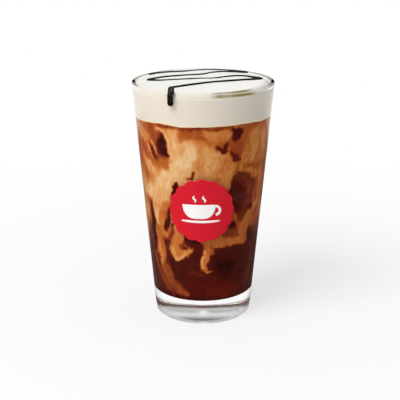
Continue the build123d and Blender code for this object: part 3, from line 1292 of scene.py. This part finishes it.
def add_lamp(name, power, size, place, aim):
    """A square lamp that faces a point."""
    lamp = bpy.data.lights.new(name, "AREA")
    lamp.energy, lamp.shape, lamp.size = power, "SQUARE", size
    holder = bpy.data.objects.new(name, lamp)
    holder.location = place
    holder.rotation_euler = (Vector(aim) - Vector(place)).to_track_quat("-Z", "Y").to_euler()
    bpy.context.scene.collection.objects.link(holder)


def make_room(settings):
    """Even light from all round, and a white background."""
    world = bpy.data.worlds.new("white_room")
    bpy.context.scene.world = world
    mix = Recipe(world)
    dim = mix.add("ShaderNodeBackground", Color=(1, 1, 1), Strength=settings.room_light)
    white = mix.add("ShaderNodeBackground", Color=(1, 1, 1), Strength=1.0)
    surface = mix.either(seen_directly(mix), dim.outputs[0], white.outputs[0])
    mix.finish(surface, "ShaderNodeOutputWorld")


def felt(mix, dark, light):
    """The surface of felt, flecked between two shades."""
    fleck = mix.noise(mix.place(), scale=900, detail=2.0)
    return mix.add("ShaderNodeBsdfDiffuse", Color=mix.blend(fleck, dark, light)).outputs[0]


def add_dark_card(name, turn, settings):
    """A dark card behind the glass, as studios use to draw its edges.

    It is seen only in reflections and through glass.
    """
    wide, tall = settings.card_width / 2, settings.card_height
    corners = [(-wide, 0, 0), (wide, 0, 0), (wide, 0, tall), (-wide, 0, tall)]
    card = new_object(name, corners, [(0, 1, 2, 3)])
    card.location = on_circle(turn, CARD_DISTANCE, settings.card_low)
    card.rotation_euler = (0, 0, math.radians(turn))
    material = bpy.data.materials.new("dark_felt")
    mix = Recipe(material)
    mix.finish(felt(mix, shade(10, 10, 10), shade(34, 34, 34)))
    card.data.materials.append(material)
    card.visible_camera = card.visible_diffuse = card.visible_shadow = False


def add_grey_mat(settings):
    """A round grey mat under the glass, faded out at its edge, and seen only in reflections."""
    rings, around = STAGE_RINGS, STAGE_SIDES
    points, faces, cover = [], [], []
    for ring in range(rings + 1):
        radius = settings.mat_inside + (settings.mat_outside - settings.mat_inside) * ring / rings
        for k in range(around):
            points.append(on_circle(360 * k / around, radius, MAT_HEIGHT))
            fade = MAT_FADES_FROM * settings.mat_outside
            cover.append(ease_between(settings.mat_outside, fade, radius))
    for ring in range(rings):
        faces += band(ring * around, (ring + 1) * around, around)
    mat = new_object("grey_mat", points, faces)
    give_values(mat, "cover", cover)
    material = bpy.data.materials.new("grey_felt")
    mix = Recipe(material)
    matt = felt(mix, shade(100, 94, 90), shade(124, 116, 110))
    clear = mix.add("ShaderNodeBsdfTransparent", Color=(1, 1, 1))
    mix.finish(mix.either(mix.value("cover"), clear.outputs[0], matt))
    mat.data.materials.append(material)
    mat.visible_camera = mat.visible_diffuse = mat.visible_shadow = mat.visible_transmission = False


LAMP_SIZE = 1.8
LAMP_PLACE = (-1.5, -1.5, 2.2)
CARD_TURNS = (("card_right", 160), ("card_left", -160))
CAMERA_PLACE = (-1.98 * MM, -700 * MM, 285.2 * MM)
CAMERA_TILT = 73.2  # degrees up from straight down
CAMERA_LENS, CAMERA_SENSOR = 102.8, 36
CAMERA_CLIP = (0.05, 20)


def make_stage(settings):
    """Floor, light, dark cards, grey mat and camera."""
    scene = bpy.context.scene
    make_floor(settings)
    make_room(settings)
    middle = (0, 0, glass_high.z * 0.5)
    add_lamp("key_lamp", settings.key_power, LAMP_SIZE, LAMP_PLACE, middle)
    for name, turn in CARD_TURNS:
        add_dark_card(name, turn, settings)
    add_grey_mat(settings)
    view = bpy.data.cameras.new("camera")
    view.lens, view.sensor_width = CAMERA_LENS, CAMERA_SENSOR
    view.clip_start, view.clip_end = CAMERA_CLIP
    camera = bpy.data.objects.new("camera", view)
    camera.location = CAMERA_PLACE
    camera.rotation_euler = Euler((math.radians(CAMERA_TILT), 0, 0))
    scene.collection.objects.link(camera)
    scene.camera = camera
    scene.view_settings.view_transform = "Standard"


# ---------------------------------------------------------------------------
# Operators, panel and registration
# ---------------------------------------------------------------------------


class ICEDCOFFEE_OT_stage(bpy.types.Operator):
    """Adds the floor, the light, the dark cards, the grey mat and the camera"""

    bl_idname = "iced_coffee.stage"
    bl_label = "Stage"

    def execute(self, context):
        make_stage(context.scene.iced_coffee_stage)
        return {"FINISHED"}


class ICEDCOFFEE_OT_tumbler(bpy.types.Operator):
    """Builds the glass"""

    bl_idname = "iced_coffee.tumbler"
    bl_label = "Tumbler"

    def execute(self, context):
        make_tumbler(context.scene.iced_coffee_tumbler)
        return {"FINISHED"}


class ICEDCOFFEE_OT_coffee(bpy.types.Operator):
    """Builds the drink with its milk swirls"""

    bl_idname = "iced_coffee.coffee"
    bl_label = "Coffee"

    def execute(self, context):
        make_coffee(context.scene.iced_coffee_drink)
        return {"FINISHED"}


class ICEDCOFFEE_OT_ice(bpy.types.Operator):
    """Builds the ice cubes that press against the wall"""

    bl_idname = "iced_coffee.ice"
    bl_label = "Ice"

    def execute(self, context):
        make_ice(context.scene.iced_coffee_ice)
        return {"FINISHED"}


class ICEDCOFFEE_OT_foam(bpy.types.Operator):
    """Builds the cold foam"""

    bl_idname = "iced_coffee.foam"
    bl_label = "Cold foam"

    def execute(self, context):
        make_foam(context.scene.iced_coffee_foam)
        return {"FINISHED"}


class ICEDCOFFEE_OT_sauce(bpy.types.Operator):
    """Builds the line of chocolate sauce and its drip"""

    bl_idname = "iced_coffee.sauce"
    bl_label = "Chocolate sauce"

    def execute(self, context):
        make_sauce(context.scene.iced_coffee_sauce)
        return {"FINISHED"}


class ICEDCOFFEE_OT_mark(bpy.types.Operator):
    """Builds the plain printed mark"""

    bl_idname = "iced_coffee.mark"
    bl_label = "Printed mark"

    def execute(self, context):
        make_mark(context.scene.iced_coffee_mark)
        return {"FINISHED"}


# Each operator with the name and the kind of its settings
STEPS = (
    (ICEDCOFFEE_OT_stage, "iced_coffee_stage", StageSettings),
    (ICEDCOFFEE_OT_tumbler, "iced_coffee_tumbler", TumblerSettings),
    (ICEDCOFFEE_OT_coffee, "iced_coffee_drink", CoffeeSettings),
    (ICEDCOFFEE_OT_ice, "iced_coffee_ice", IceSettings),
    (ICEDCOFFEE_OT_foam, "iced_coffee_foam", FoamSettings),
    (ICEDCOFFEE_OT_sauce, "iced_coffee_sauce", SauceSettings),
    (ICEDCOFFEE_OT_mark, "iced_coffee_mark", MarkSettings),
)


class VIEW3D_PT_iced_coffee(bpy.types.Panel):
    """Lists the settings and builds each piece"""

    bl_label = "Iced coffee"
    bl_idname = "VIEW3D_PT_iced_coffee"
    bl_space_type = "VIEW_3D"
    bl_region_type = "UI"
    bl_category = "Iced coffee"

    def draw(self, context):
        for operator, group, _ in STEPS:
            box = self.layout.box()
            settings = getattr(context.scene, group)
            for name in settings.__annotations__:
                box.prop(settings, name)
            box.operator(operator.bl_idname)


def register():
    """Makes the settings, operators and panel known to Blender."""
    for operator, name, group in STEPS:
        bpy.utils.register_class(group)
        setattr(bpy.types.Scene, name, bpy.props.PointerProperty(type=group))
        bpy.utils.register_class(operator)
    bpy.utils.register_class(VIEW3D_PT_iced_coffee)


def unregister():
    """Takes them away again."""
    bpy.utils.unregister_class(VIEW3D_PT_iced_coffee)
    for operator, name, group in reversed(STEPS):
        bpy.utils.unregister_class(operator)
        delattr(bpy.types.Scene, name)
        bpy.utils.unregister_class(group)


def main():
    """Builds every piece."""
    register()
    bpy.ops.iced_coffee.stage()
    bpy.ops.iced_coffee.tumbler()
    bpy.ops.iced_coffee.coffee()
    bpy.ops.iced_coffee.ice()
    bpy.ops.iced_coffee.foam()
    bpy.ops.iced_coffee.sauce()
    bpy.ops.iced_coffee.mark()


if __name__ == "__main__":
    main()
